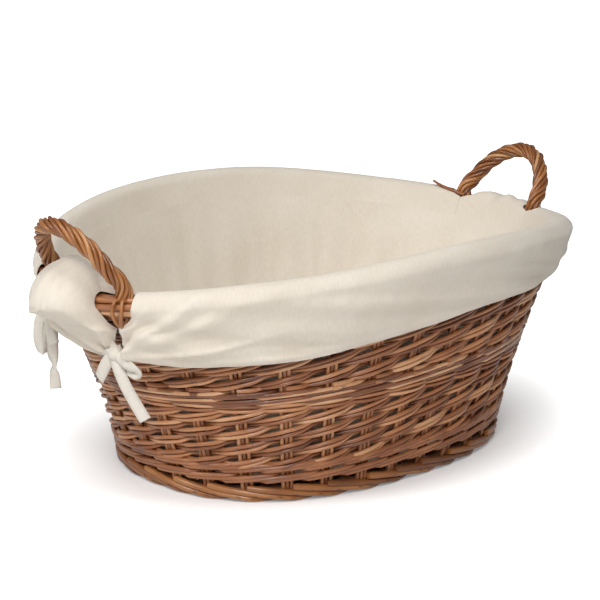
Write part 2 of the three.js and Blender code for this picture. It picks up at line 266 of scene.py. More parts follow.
# %% Willow finish
def willow_finish(name, stops, roughness):
    material, tree, shader = new_finish(name)
    links = tree.links
    along = add_node(tree, "ShaderNodeUVMap").outputs["UV"]
    place = add_node(tree, "ShaderNodeTexCoord").outputs["Object"]
    tone = add_node(tree, "ShaderNodeAttribute", {"attribute_name": "tone"})
    # Streaks: 16 to the metre along the rod, 500 to the metre round it.
    streak_map = add_node(tree, "ShaderNodeMapping", {"Scale": (16, 500, 1)}, Vector=along)
    streak_noise = add_node(
        tree, "ShaderNodeTexNoise", {"Scale": 1.0, "Detail": 4.0, "Roughness": 0.6},
        Vector=streak_map.outputs["Vector"],
    )
    streaks = streak_noise.outputs["Fac"]
    # Stain: slow changes from place to place in the basket.
    stain = add_node(tree, "ShaderNodeTexNoise", {"Scale": 28.0, "Detail": 3.0}, Vector=place)
    toned = maths(tree, "MULTIPLY", tone.outputs["Fac"], 0.50)
    streaked = maths(tree, "MULTIPLY", streaks, 0.40)
    stained = maths(tree, "MULTIPLY", stain.outputs["Fac"], 0.42)
    total = maths(tree, "ADD", maths(tree, "ADD", toned, streaked), stained)
    ramp = add_node(tree, "ShaderNodeValToRGB", Fac=total)
    set_ramp(ramp, stops)
    # Bud eyes: one every 40 mm or so.
    eye_map = add_node(tree, "ShaderNodeMapping", {"Scale": (26, 120, 1)}, Vector=along)
    eyes = add_node(
        tree, "ShaderNodeTexVoronoi", {"Scale": 1.0, "Randomness": 1.0},
        Vector=eye_map.outputs["Vector"],
    )
    eye_mask = add_node(
        tree, "ShaderNodeMapRange",
        {"From Min": 0.05, "From Max": 0.16, "To Min": 0.35, "To Max": 1.0},
        Value=eyes.outputs["Distance"],
    )
    darkened = add_node(
        tree, "ShaderNodeMix", {"data_type": "RGBA", "blend_type": "MULTIPLY", "Factor": 1.0},
        A=ramp.outputs["Color"], B=eye_mask.outputs["Result"],
    )
    links.new(darkened.outputs["Result"], shader.inputs["Base Color"])
    rough = add_node(
        tree, "ShaderNodeMapRange",
        {"To Min": roughness - 0.08, "To Max": roughness + 0.14}, Value=streaks,
    )
    links.new(rough.outputs["Result"], shader.inputs["Roughness"])
    bump = add_node(tree, "ShaderNodeBump", {"Strength": 0.35, "Distance": 0.0004}, Height=streaks)
    links.new(bump.outputs["Normal"], shader.inputs["Normal"])
    shader.inputs["IOR"].default_value = 1.48
    shader.inputs["Coat Weight"].default_value = 0.45
    shader.inputs["Coat Roughness"].default_value = 0.22
    return material


steamed_willow = willow_finish(
    "steamed_willow",
    [(0.30, "#653921"), (0.50, "#955b37"), (0.66, "#b3774d"), (0.82, "#ca9063"), (1.0, "#e2b58b")],
    0.32,
)
border_willow = willow_finish(
    "border_willow",
    [(0.30, "#5a2f16"), (0.50, "#8c5429"), (0.68, "#ad713e"), (0.86, "#c6905d"), (1.0, "#dcb385")],
    0.32,
)

# %% [markdown]
# ## Stakes
#
# The uprights that carry the wall. Each is three thin rods side by side, so
# from outside they show as little ladders of three between the weavers.

# %% Build the stakes
STAKE_ROD = 2.1 * MM
WEAVER = 2.3 * MM
SWING = 4.4 * MM

stake_rods = []
for i in range(STAKES):
    for side in (-1, 0, 1):
        seed = i * 3 + side
        points, radii = [], []
        for step in range(21):
            rise = -0.01 + 0.965 * step / 20
            sway = 0.5 * MM * wander(seed, rise, 3.0)
            shift = (side * 2.05 * STAKE_ROD + sway) / (PITCH * (0.82 + 0.36 * rise))
            points.append(on_wall(angle_at(i + shift), rise, 0.3 * MM * wander(seed + 50, rise, 4)))
            radii.append(STAKE_ROD * (1.04 - 0.10 * rise))
        stake_rods.append((points, radii))
stakes = willow_rods("stakes", stake_rods, steamed_willow)
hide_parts(*[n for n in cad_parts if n.startswith("stake_")])

# %% [markdown]
# ## Randing
#
# The wall is French randed: a pair of rods starts behind every stake and all
# of them climb together, in front of one stake and behind the next, each pass
# half a window higher. Where a pair dives behind a stake it is drawn up
# against the one above it, and that leaves a slim lens-shaped gap beside the
# stake through which the liner shows.

# %% Weave the two bands of randing
WINDOW = 0.078
ROW = WINDOW / 2


def smooth(x):
    x = min(max(x, 0.0), 1.0)
    return x * x * (3 - 2 * x)


def pair_path(start_stake, start_rise, first, last, top, behind_first, upper, seed):
    """One rod of a pair. Upper is 1 for the upper rod and -1 for the lower."""
    points, radii = [], []
    steps = 8
    for k in range(int(first * steps), int(last * steps) + 1):
        t = k / steps
        phase = t + (1 if behind_first else 0)
        swing = math.cos(math.pi * phase)
        part = phase % 2
        if part < 1:
            lift = 2.4 * MM * math.sin(math.pi * smooth((part - 0.3) / 0.7)) ** 2
        else:
            lift = -0.9 * MM * math.sin(math.pi * (part - 1))
        spread = (2.15 + 0.45 * max(swing, 0.0)) * MM
        height = upper * spread + lift + 0.9 * MM * wander(seed, t, 0.9)
        rise = start_rise + ROW * min(max(t, -0.25), top) + height / WALL_HEIGHT
        offset = SWING * swing + 0.5 * MM * wander(seed + 31, t, 1.1)
        points.append(on_wall(angle_at(start_stake + t), rise, offset))
        radii.append(WEAVER * (1.06 - 0.16 * t / last) * (1 + 0.06 * wander(seed + 9, t, 0.7)))
    return points, radii


def randing(start_rise, first, last, top, behind_first):
    """A pair for every stake. First and last count stakes; top stops the climb."""
    rods = []
    for stake in range(STAKES):
        for upper in (-1, 1):
            seed = stake * 2 + upper + start_rise * 100
            rods.append(pair_path(stake, start_rise, first, last, top, behind_first, upper, seed))
    return rods


lower_band = willow_rods("lower_randing", randing(0.154, -1.0, 8.7, 7.35, False), steamed_willow)
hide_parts(*[f"lower_randing_{i}" for i in range(1, 5)])
upper_band = willow_rods("upper_randing", randing(0.536, -1.1, 9.4, 9.0, True), steamed_willow)
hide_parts(*[f"upper_randing_{i}" for i in range(1, 6)])

# %% [markdown]
# ## Waling
#
# Three rods twined together, each in front of two stakes and behind one, lock
# the stakes at the foot, between the two bands and under the rim. The outside
# shows two rods for each round, lying at a slant.

# %% Twine the wales
def wale(start_rise, rounds, radius, seed, height=2.0):
    """Height is how far a round climbs, in rod thicknesses."""
    rods = []
    total = int(rounds * STAKES)
    steps = 6
    per_round = height * 2 * radius / WALL_HEIGHT
    for strand in range(3):
        points, radii = [], []
        for k in range(total * steps + 1):
            t = k / steps
            phase = (t - strand + 0.5) % 3
            inside = smooth((phase - 2.0) / 0.5) - smooth((phase - 2.55) / 0.45)
            offset = (STAKE_ROD + radius) * (1 - 2 * inside) * 0.95
            slant = phase / 2.3 - 0.5 if phase < 2.3 else 0.5 - smooth((phase - 2.3) / 0.7)
            slant *= 3.0 * radius
            rise = start_rise + per_round * t / STAKES
            rise += (slant + 0.5 * MM * wander(seed + strand, t, 0.8)) / WALL_HEIGHT
            offset += 0.5 * MM * wander(seed + strand + 5, t, 0.9)
            points.append(on_wall(angle_at(strand * 0.01 + t), rise, offset))
            radii.append(radius * (1 + 0.12 * wander(seed + strand + 9, t, 0.15)))
        rods.append((points, radii))
    return rods


for name, rods, node in (
    ("foot_wale", wale(0.050, 1.97, 2.5 * MM, 3, 2.3), "base_wale"),
    ("waist_wale", wale(0.459, 1.97, 2.1 * MM, 17, 1.7), "mid_wale"),
    ("rim_wale", wale(0.912, 0.99, 2.4 * MM, 29), "top_wale"),
):
    twined = willow_rods(name, rods, steamed_willow)
    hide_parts(node)

# %% [markdown]
# ## Foot border
#
# The basket stands on thick rods laid over each other like shingles. Each
# starts with a cut butt at the top outside, runs down and to the right under
# the next three, and tapers away underneath. Two plain rings of rod fill the
# inside of the border.

# %% Lay the foot border
SPAN = 3.1  # how many stakes a rod passes
border_rods = []
for i in range(STAKES):
    points, radii = [], []
    for k in range(27):
        t = k / 26
        across = (6.0 - 2.6 * t - 11.0 * smooth(t * 3.0 - 1.9)) * MM
        up = (15.4 - 13.2 * min(t * 1.3, 1.0)) * MM
        up += 1.0 * MM * wander(i, t, 2.0)
        thickness = (3.7 - 1.1 * t) * MM * (1 + 0.10 * wander(i + 40, t, 1.5))
        thickness *= 0.82 + 0.18 * smooth(t * 30)
        place = i + 0.25 * wander(i + 7, 0, 1) + SPAN * t
        point = on_wall(angle_at(place), 0, across)
        points.append(Vector((point.x, point.y, max(up, thickness + 0.1 * MM))))
        radii.append(thickness)
    border_rods.append((points, radii))
for i in range(2):
    points, radii = [], []
    for k in range(241):
        point = on_wall(angle_at(k / 240 * STAKES), 0, (-5.2 + 3.5 * i) * MM)
        points.append(Vector((point.x, point.y, (5.0 + 7.0 * i) * MM)))
        radii.append(3.6 * MM)
    border_rods.append((points, radii))
# The foot border's rods get darker tones here: painted shade on the foot border.
foot_border = willow_rods(
    "foot_plait", border_rods, border_willow, detail=2, painted_shade_factor=0.55
)
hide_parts("foot_border")

# %% [markdown]
# ## Rim border
#
# Under the cloth the stakes are bent over and plaited into a thick rolled
# border. It shows only at the keyholes by the handles, as rods lying along
# the rim with a slow twist.

# %% Roll the rim border
rim_rods = []
for strand in range(7):
    points, radii = [], []
    for k in range(361):
        t = k / 360 * STAKES
        turn = strand / 6 * math.tau + t * math.tau / 10
        reach = 0 if strand == 6 else 7.0 * MM
        angle = angle_at(t)
        point = on_wall(angle, 1) + outward(angle, 1) * (reach * math.cos(turn))
        points.append(point + Vector((0, 0, reach * math.sin(turn))))
        radii.append(3.3 * MM * (1 + 0.08 * wander(strand, t, 0.3)))
    rim_rods.append((points, radii))
rim_border = willow_rods("rim_roll", rim_rods, steamed_willow, detail=2)
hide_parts("rim_border")

# %% [markdown]
# ## Woven base
#
# Under the basket, thick base sticks cross each other and finer rods are
# woven over and under them, out to the foot border.

# %% Weave the base
STICK_GAP = 27 * MM
ROW_GAP = 4.15 * MM
base_low, base_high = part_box("base_weave")
BASE_Z = (base_low.z + base_high.z) / 2


def half_chord(share, full):
    """Half the width of the base at a share of the way out from its middle."""
    return full * (1 - abs(share) ** FOOT_SQUARENESS) ** (1 / FOOT_SQUARENESS)


stick_rods = []
for i in range(-6, 7):
    x = i * STICK_GAP
    reach = half_chord(x / base_high.x, base_high.y)
    ends = [Vector((x, -reach, BASE_Z)), Vector((x, reach, BASE_Z))]
    stick_rods.append(([ends[0].lerp(ends[1], k / 8) for k in range(9)], [2.6 * MM] * 9))
base_sticks = willow_rods("base_sticks", stick_rods, steamed_willow)
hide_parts("base_slath")

weave_rods = []
row = 0
y = -base_high.y + 4 * MM
while y < base_high.y - 3 * MM:
    reach = half_chord(y / base_high.y, base_high.x) - 2 * MM
    count = max(4, int(2 * reach / STICK_GAP * 6))
    points = []
    for k in range(count + 1):
        x = -reach + 2 * reach * k / count
        over = math.cos(math.pi * (x / STICK_GAP + row))
        points.append(Vector((x, y + 0.5 * MM * wander(row, x, 9), BASE_Z + 3.4 * MM * over)))
    weave_rods.append((points, [2.0 * MM * (1 + 0.1 * wander(row, 1, 1))] * (count + 1)))
    row += 1
    y += ROW_GAP
base_weave = willow_rods("base_randing", weave_rods, steamed_willow, detail=0)
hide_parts("base_weave")

# %% [markdown]
# ## Roped handles
#
# A stout rod is bent into a bow and pushed down into the border at both ends.
# Eight thinner rods are then wound round it together, so it looks like a
# rope, and their ends fork round the border. One rod at the right end is left
# sticking out.

# %% Find the line of each handle
LEG_Y = 54 * MM
HANDLE_LEAN = 34 * MM
HANDLE_RISE = {-1: 80 * MM, 1: 66 * MM}  # by side: the left one stands taller
leg_angle = math.asin(LEG_Y / RIM[1])
leg = on_wall(leg_angle, 1)
rim_end = on_wall(0, 1)


def through(points, steps):
    """A smooth line through the points, each a tuple of any length."""
    line = []
    last = len(points) - 1
    for i in range(last):
        p0, p1 = points[max(i - 1, 0)], points[i]
        p2, p3 = points[i + 1], points[min(i + 2, last)]
        for k in range(steps):
            t = k / steps
            line.append(tuple(
                0.5 * (2 * b + (c - a) * t + (2 * a - 5 * b + 4 * c - d) * t * t
                       + (3 * b - a - 3 * c + d) * t ** 3)
                for a, b, c, d in zip(p0, p1, p2, p3)
            ))
    line.append(tuple(points[last]))
    return line


def handle_line(side, steps=14):
    """Side is -1 for the left handle and 1 for the right one."""
    top = (side * (rim_end.x + HANDLE_LEAN), 0.0, rim_end.z + HANDLE_RISE[side])
    height = top[2] - leg.z
    # Each row: share of the lean, share of the leg's distance, height above the rim.
    shape = [(0, 1, -10 * MM), (0, 1, 3 * MM), (0, 1, 14 * MM), (0.10, 0.985, 0.32 * height)]
    shape += [(0.36, 0.91, 0.48 * height), (0.64, 0.72, 0.73 * height)]
    shape += [(0.89, 0.40, 0.925 * height)]
    half = []
    for lean, y, z in shape:
        x = leg.x + lean * (rim_end.x + HANDLE_LEAN - leg.x)
        half.append((side * x, y * leg.y, leg.z + z))
    full = half + [top] + [(x, -y, z) for x, y, z in reversed(half)]
    return [Vector(p) for p in through(full, steps)]


# %% Wind the ropes
STRANDS = 8
TWIST = 78 * MM  # one full turn of a strand


def frames_along(line, across):
    """Point, and two directions square to the line, at each point of it."""
    found = []
    for i, point in enumerate(line):
        along = (line[min(i + 1, len(line) - 1)] - line[max(i - 1, 0)]).normalized()
        other = along.cross(across).normalized()
        found.append((point, other.cross(along).normalized(), other))
    return found


def roped_handle(label, side):
    line = handle_line(side)
    frames = frames_along(line, Vector((side * HANDLE_RISE[side], 0, -HANDLE_LEAN)))
    distance = [0.0]
    for a, b in zip(line, line[1:]):
        distance.append(distance[-1] + (b - a).length)
    length = distance[-1]
    rods = []
    for strand in range(STRANDS):
        seed = strand + side * 20
        points, radii = [], []
        for (point, one, two), s in zip(frames, distance):
            end = min(s, length - s)
            if end < 16 * MM:
                continue
            turn = s / TWIST * math.tau + strand / STRANDS * math.tau
            turn += 0.10 * wander(seed + 60, s, 25)
            reach = (6.8 if strand % 2 else 5.7) * MM + 0.5 * MM * wander(seed, s, 40)
            points.append(point + one * reach * math.cos(turn) + two * reach * math.sin(turn))
            radii.append(2.15 * MM * (1 + 0.10 * wander(seed + 3, s, 30)))
        for last in (False, True):
            tip = points[-1] if last else points[0]
            y_side = 1 if tip.y > 0 else -1
            away = Vector((tip.x - side * leg.x, tip.y - y_side * leg.y, 0))
            out = outward(math.atan2(y_side * leg.y / RIM[1], side * leg.x / RIM[0]), 1)
            tuck = 13.0 * MM if away.dot(out) > 0 else -1.0 * MM
            along_rim = Vector((-out.y, out.x, 0))
            fork = 5.5 * MM if away.dot(along_rim) > 0 else -5.5 * MM
            foot = Vector((side * leg.x, y_side * leg.y, leg.z))
            tail = [
                foot + out * (0.75 * tuck) + along_rim * (0.8 * fork) + Vector((0, 0, 7 * MM)),
                foot + out * tuck + along_rim * fork + Vector((0, 0, -3 * MM)),
                foot + out * (0.85 * tuck) + along_rim * (0.5 * fork) + Vector((0, 0, -13 * MM)),
                foot + out * (0.5 * tuck) + along_rim * (0.2 * fork) + Vector((0, 0, -18 * MM)),
            ]
            bend = [Vector(p) for p in through([tip, *tail], 4)][1:]
            if last:
                points, radii = points + bend, radii + [2.0 * MM] * len(bend)
            else:
                points, radii = bend[::-1] + points, [2.0 * MM] * len(bend) + radii
        rods.append((points, radii))
    if side > 0:
        # Angle, then offset, height and radius in mm.
        stray = [(0.21, -9, 12, 2.2), (0.28, -7, 14, 2.1), (0.34, -5, 16, 1.9), (0.39, -5, 21, 1.4)]
        bend = through([(*on_wall(a, 1, o * MM), z * MM, r * MM) for a, o, z, r in stray], 6)
        rods.append(([Vector((x, y, z + up)) for x, y, z, up, r in bend], [b[4] for b in bend]))
    rope = willow_rods(f"{label}_rope", rods, border_willow, detail=2)
    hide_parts(f"{label}_handle_rope")
    bow = willow_rods(f"{label}_bow", [(line, [4.6 * MM] * len(line))], steamed_willow, detail=2)
    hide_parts(f"{label}_handle_bow")


roped_handle("left", -1)
roped_handle("right", 1)

# %% [markdown]
# ## Calico
#
# The liner is washed, unbleached cotton calico: cream, flecked, quite matt.
# Its threads are about 0.5 mm apart, too fine for this distance, so they are
# drawn 1.1 mm apart. The weave follows the cloth's own UV map, in metres.

# %% Calico finish
BANDS = 3.18  # bands of a wave texture in one unit, at scale 1


def calico_finish(name, stops, thread):
    material, tree, shader = new_finish(name)
    links = tree.links
    cloth = add_node(tree, "ShaderNodeUVMap").outputs["UV"]
    threads = [
        add_node(
            tree, "ShaderNodeTexWave",
            {"Scale": 1 / thread / BANDS, "Distortion": 0.6, "Detail": 1.0,
             "bands_direction": way},
            Vector=cloth,
        ).outputs["Fac"]
        for way in "XY"
    ]
    weave = maths(tree, "MULTIPLY", *threads)
    # Slubs: thick places in the yarn, about 2 mm by 6 mm.
    slub_map = add_node(tree, "ShaderNodeMapping", {"Scale": (500, 160, 1)}, Vector=cloth)
    slub_noise = add_node(
        tree, "ShaderNodeTexNoise", {"Scale": 1.0, "Detail": 3.0},
        Vector=slub_map.outputs["Vector"],
    )
    slubs = slub_noise.outputs["Fac"]
    cloud = add_node(tree, "ShaderNodeTexNoise", {"Scale": 14.0, "Detail": 3.0}, Vector=cloth)
    both = maths(tree, "ADD", slubs, cloud.outputs["Fac"])
    ramp = add_node(tree, "ShaderNodeValToRGB", Fac=maths(tree, "MULTIPLY", both, 0.5))
    set_ramp(ramp, stops)
    links.new(ramp.outputs["Color"], shader.inputs["Base Color"])
    fine = add_node(
        tree, "ShaderNodeBump", {"Strength": 0.25, "Distance": 0.0004},
        Height=maths(tree, "ADD", weave, slubs),
    )
    crumple = add_node(
        tree, "ShaderNodeTexNoise", {"Scale": 45.0, "Detail": 4.0, "Roughness": 0.55},
        Vector=cloth,
    )
    soft = add_node(
        tree, "ShaderNodeBump", {"Strength": 0.22, "Distance": 0.003},
        Height=crumple.outputs["Fac"], Normal=fine.outputs["Normal"],
    )
    links.new(soft.outputs["Normal"], shader.inputs["Normal"])
    shader.inputs["Roughness"].default_value = 0.92
    shader.inputs["Sheen Weight"].default_value = 0.25
    shader.inputs["Sheen Roughness"].default_value = 0.5
    shader.inputs["Specular IOR Level"].default_value = 0.2
    return material


calico = calico_finish(
    "unbleached_calico", [(0.30, "#ddd2c0"), (0.5, "#e4dacb"), (0.7, "#eae2d5")], 1.1 * MM
)
tape = calico_finish(
    "cotton_tape", [(0.30, "#e2dacc"), (0.5, "#e9e2d6"), (0.7, "#eee9df")], 0.9 * MM
)

# %% [markdown]
# ## Sheets of cloth
#
# Each panel of the liner starts as a flat grid, which is then laid over the
# rim by moving its vertices: across the grid is the way round the basket and
# up the grid is the way over the rim. The flat sizes become its UV map. A
# Solidify modifier gives the cloth its thickness.

# %% Lay a grid of cloth
CLOTH = 1.2 * MM


def cloth_panel(name, across, along, place, size, closed=False):
    """Place(u, v) gives a point; size(u, v) gives its place on the flat cloth."""
    bm = bmesh.new()
    bmesh.ops.create_grid(bm, x_segments=across, y_segments=along, size=0.5)
    flat = bm.loops.layers.uv.new("UVMap")
    for face in bm.faces:
        for corner in face.loops:
            co = corner.vert.co
            corner[flat].uv = size(co.x + 0.5, co.y + 0.5)
    for vert in bm.verts:
        vert.co = place(vert.co.x + 0.5, vert.co.y + 0.5)
    if closed:
        bmesh.ops.remove_doubles(bm, verts=bm.verts, dist=0.05 * MM)
    bmesh.ops.recalc_face_normals(bm, faces=bm.faces)
    for face in bm.faces:
        face.smooth = True
    for edge in bm.edges:
        edge.smooth = not edge.is_boundary
    mesh = bpy.data.meshes.new(name)
    bm.to_mesh(mesh)
    area = sum(face.calc_area() for face in bm.faces)
    bm.free()
    mesh.materials.append(calico)
    piece = bpy.data.objects.new(name, mesh)
    bpy.context.scene.collection.objects.link(piece)
    solid = piece.modifiers.new("thickness", "SOLIDIFY")
    solid.thickness = CLOTH
    solid.offset = 0
    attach(piece, "root")
    print(f"{name}: {len(mesh.polygons)} faces, {area:.4f} square metres")
    return piece


# %% [markdown]
# ## Inside of the liner
#
# The wall of the bag hangs loosely against the wicker in soft upright folds,
# deepest half way up, with an upright seam at each corner of the basket. At
# the top it meets the skirt in a level seam, 14 mm below the rim, and at the
# bottom it turns in under the edge of the floor.

# %% Hang the liner's wall and lay its floor
SEAMS = (0.62, math.pi - 0.62, math.pi + 0.62, -0.62)
SEAM_RISE = 1 - 14 * MM / WALL_HEIGHT
SEAM_OFFSET = -13.2 * MM
WALL_OFFSET = -9.6 * MM
WALL_START = 0.042
floor_low, floor_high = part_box("liner_floor")
floor_middle = (floor_low.z + floor_high.z) / 2
FLOOR = (floor_high.x, floor_high.y, 2.3)


def wall_fold(angle, rise):
    swell = max(math.sin(math.pi * rise / SEAM_RISE), 0.0) ** 0.7
    c, s = math.cos(angle), math.sin(angle)
    fold = 3.4 * noise.noise(Vector((c * 5, s * 5, rise * 0.8)))
    fold += 1.8 * noise.noise(Vector((c * 13, s * 13, rise * 1.5 + 4)))
    fold += 0.5 * noise.noise(Vector((c * 34, s * 34, rise * 6)))
    for seam in SEAMS:
        away = (angle - seam + math.pi) % math.tau - math.pi
        fold += 1.6 * math.exp(-((away / 0.006) ** 2)) - 1.0 * math.exp(-((away / 0.03) ** 2))
    return (fold * swell - 1.2 * swell) * MM


def wall_point(u, v):
    angle = u * math.tau
    rise = WALL_START + (SEAM_RISE - WALL_START) * v
    inside = WALL_OFFSET + (SEAM_OFFSET - WALL_OFFSET) * smooth((rise - 0.55) / 0.3)
    hung = on_wall(angle, rise, inside + wall_fold(angle, rise))
    x, y = oval(FLOOR, angle)
    turned_in = Vector((x * 0.985, y * 0.985, floor_middle + 0.5 * MM))
    return turned_in.lerp(hung, smooth(v / 0.07))


liner_wall = cloth_panel(
    "liner_bag_wall", 420, 70, wall_point, lambda u, v: (u * 1.50, v * 0.235), closed=True
)
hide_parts("liner_wall")


def floor_point(u, v):
    angle = u * math.tau
    reach = v ** 0.8
    x, y = oval(FLOOR, angle)
    lumps = noise.noise(Vector((x * reach * 22, y * reach * 22, 3.0)))
    lumps += 0.5 * noise.noise(Vector((x * reach * 60, y * reach * 60, 9.0)))
    z = floor_middle + (1.2 + 1.4 * lumps) * MM * (1 - v ** 4)
    return Vector((x * reach, y * reach, z))


def floor_flat(u, v):
    point = floor_point(u, v)
    return point.x, point.y


liner_floor = cloth_panel("liner_bag_floor", 160, 40, floor_point, floor_flat, closed=True)
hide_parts("liner_floor")

# %% [markdown]
# ## Skirt and end flaps
#
# The cloth comes up from the bag, rolls over the rim and hangs outside. It is
# split at each handle leg: the long skirts lie along the sides, and a short
# flap passes over each end, under the handle. A panel is drawn as three
# stretches: up the inside, over the roll and down the outside.

# %% The line that the cloth follows over the rim
ROLL = 12.4 * MM  # radius of the cloth's way round the border
INSIDE = 23 * MM  # cloth from the level seam to the roll
TOUCH = math.pi - 0.5  # where round the roll the cloth first touches it
OVER = TOUCH * ROLL
CREST = INSIDE + (TOUCH - math.pi / 2) * ROLL
HOLE = 16 * MM  # half a keyhole
RIM_ROUND = 0.236  # metres along the rim for one radian, near the handles
NEAR_KNOT = 0.12  # angles from the middle of an end
FAR_KNOT = 0.406


def over_rim(angle, s, hem, fall, hang, bulge, puff):
    """S runs from the seam inside to the hem. Fall is how much hangs outside, hang
    its offset there. Bulge pushes the cloth outwards and puff lifts it."""
    out = outward(angle, 1)
    centre = on_wall(angle, 1)

    def roll_point(around, push):
        crest = (ROLL + puff) * math.sin(around)
        reach = ROLL * math.cos(around) + push * max(math.cos(around), 0.0)
        return centre + out * reach + Vector((0, 0, crest))

    if s < INSIDE:
        seam = on_wall(angle, SEAM_RISE, SEAM_OFFSET)
        return seam.lerp(roll_point(TOUCH, 0), s / INSIDE)
    if s < INSIDE + OVER:
        return roll_point(TOUCH * (1 - (s - INSIDE) / OVER), bulge)
    t = (s - INSIDE - OVER) / fall
    offset = ROLL + (hang - ROLL) * smooth(t * 1.3) + bulge
    least = (11.6 - 2.0 * smooth(t * 2)) * MM  # clear of the rods
    return on_wall(angle, 1 + (hem - 1) * t, max(offset, least))


def skirt_hem(angle):
    """Rise of the hem, which hangs unevenly round the basket."""
    return 0.742 + 0.06 * math.cos(2 * angle + 2)


def hole_gap(s):
    """Half the gap between two panels at a keyhole, with s along the cloth."""
    reach = s - CREST
    reach /= 0.65 * HOLE if reach < 0 else 2.7 * HOLE
    least = 0.1 * MM if reach < 0 else 0.8 * MM
    if abs(reach) >= 1:
        return least
    return max(HOLE * math.sqrt(1 - reach * reach), least)


def slit(s, knot):
    """How far from the middle of the end the slit runs, as an angle."""
    return leg_angle + (knot - leg_angle) * smooth((s - INSIDE - OVER) / (52 * MM))


def pull_from(x, y, reach, folds, phase, depth):
    """Folds that fan out from a knot: x to the side of it, y above it, in metres."""
    r = math.hypot(x, y)
    fan = math.atan2(y, x)
    crest = 0.5 + 0.5 * math.cos(fan * folds + phase)
    strength = smooth(r / (22 * MM)) * math.exp(-r / reach)
    return depth * strength * (crest ** 1.5 - 0.35)


def crease(x, s, start, stop, width, depth):
    """A pressed fold along the line from start to stop, fading at both ends."""
    dx, ds = stop[0] - start[0], stop[1] - start[1]
    length = math.hypot(dx, ds)
    along = ((x - start[0]) * dx + (s - start[1]) * ds) / length
    off = ((x - start[0]) * ds - (s - start[1]) * dx) / length
    fade = smooth(3 * along / length) * smooth(3 * (length - along) / length)
    return depth * fade * math.exp(-abs(off) / width)


def hem_fold(s, total):
    """The doubled, stitched edge of the cloth."""
    up = (total - s) / MM
    return (0.7 * smooth((10 - up) / 1.5) - 0.8 * math.exp(-((up - 8.5) / 1.4) ** 2)) * MM


# %% Hang the long skirts
FLAP_FALL = 58 * MM
SKIRT_FALL = 61 * MM
KNOT_S = INSIDE + OVER + FLAP_FALL
# Folds dragged from a knot: slope, width and depth.
DRAG = (
    (0.42, 6 * MM, 10 * MM),
    (0.13, 5 * MM, 8 * MM),
    (0.85, 8 * MM, 7 * MM),
    (-0.14, 5 * MM, 5 * MM),
)


def long_skirt(name, middle, knot, wide, node):
    """Middle is the angle in the middle of the skirt. Wide stretches each keyhole."""
    length = 0.80
    total = INSIDE + OVER + SKIRT_FALL

    def place(u, v):
        s = v * total
        full = math.pi / 2 - slit(s, knot)
        start, stop = (full - w * hole_gap(s) / RIM_ROUND for w in wide)
        angle = middle - start + (start + stop) * u
        x, y = u * length, KNOT_S - s
        bulge = pull_from(x, y, 60 * MM, 9.0, 0.9, 7 * MM)
        bulge += pull_from(length - x, y, 45 * MM, 8.0, 1.9, 4 * MM)
        for slope, width, depth in DRAG:
            ridge = math.exp(-(((y - slope * x) / (width + 0.05 * x)) ** 2))
            bulge += depth * ridge * smooth(x / (14 * MM)) * math.exp(-x / (120 * MM))
        bulge += crease(x, s, (0.0, KNOT_S), (0.20, KNOT_S - 26 * MM), 4 * MM, 7 * MM)
        bulge += crease(x, s, (0.02, KNOT_S - 2 * MM), (0.30, KNOT_S - 1 * MM), 3 * MM, 4 * MM)
        low = smooth((s - INSIDE - 0.5 * OVER) / (40 * MM))
        sway = noise.noise(Vector((x * 8, v * 1.6, middle + 2)))
        sway += 0.9 * noise.noise(Vector((x * 13 + y * 70, y * 12, middle + 8)))
        quiet = 1 - 0.6 * smooth((x - length + 0.16) / 0.12)
        bulge += (6.0 * sway + 0.3) * MM * low * quiet
        bulge += 0.7 * MM * noise.noise(Vector((x * 60, v * 7, middle + 5)))
        bulge += hem_fold(s, total)
        corner = math.exp(-((x / 0.05) ** 2)) + 0.6 * math.exp(-(((length - x) / 0.06) ** 2))
        hem = skirt_hem(angle) + 0.018 * corner
        hem += 0.006 * noise.noise(Vector((x * 14, 1.0, middle)))
        puff = 1.5 * MM + 2.5 * MM * noise.noise(Vector((x * 8, middle, 3)))
        return over_rim(angle, s, hem, SKIRT_FALL, 12.5 * MM, bulge, puff)

    piece = cloth_panel(name, 380, 60, place, lambda u, v: (u * length, v * total))
    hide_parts(node)


long_skirt("front_skirt", -math.pi / 2, 0.175, (1.0, 1.0), "skirt_front")
long_skirt("back_skirt", math.pi / 2, FAR_KNOT, (0.9, 2.4), "skirt_back")


# %% Lay the end flaps under the handles
def end_flap(name, side, rise_up, wide, node):
    """Rise_up is how far it stands off the rim. Wide stretches the near keyhole."""
    length = 0.115
    total = INSIDE + OVER + FLAP_FALL

    def place(u, v):
        s = v * total
        gap = hole_gap(s) / RIM_ROUND
        near = slit(s, NEAR_KNOT) - wide * gap
        far = -slit(s, FAR_KNOT) + gap
        dev = far + (near - far) * u
        angle = -dev if side > 0 else math.pi + dev
        x = u * length
        low = smooth((s - INSIDE - OVER) / (50 * MM))
        hump = math.sin(math.pi * u ** 0.85) ** 0.5
        ripple = noise.noise(Vector((x * 30, v * 4, side + 3)))
        ripple += 0.6 * noise.noise(Vector((x * 55 + v * 5, v * 9, side + 7)))
        bulge = (1.15 * rise_up + 4.5 * ripple * MM) * hump * smooth(v * 4) * (1 - 0.65 * low)
        bulge += crease(x, s, (0.030, 0.074), (0.090, 0.048), 3 * MM, 6 * MM)
        bulge += crease(x, s, (0.045, 0.030), (0.100, 0.052), 3 * MM, -4.5 * MM)
        bulge += pull_from(x + 5 * MM, KNOT_S - s, 60 * MM, 8.0, 0.4, 11 * MM)
        bulge += pull_from(length - x, KNOT_S - s, 60 * MM, 8.0, 2.2, 11 * MM)
        bulge += hem_fold(s, total)
        hem = 0.765 - 0.07 * smooth((u - 0.30) / 0.6)
        puff = (0.92 * rise_up + 4 * MM * ripple) * hump
        return over_rim(angle, s, hem, FLAP_FALL, 13.5 * MM, bulge, puff)

    piece = cloth_panel(name, 110, 70, place, lambda u, v: (u * length, v * total))
    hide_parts(node)


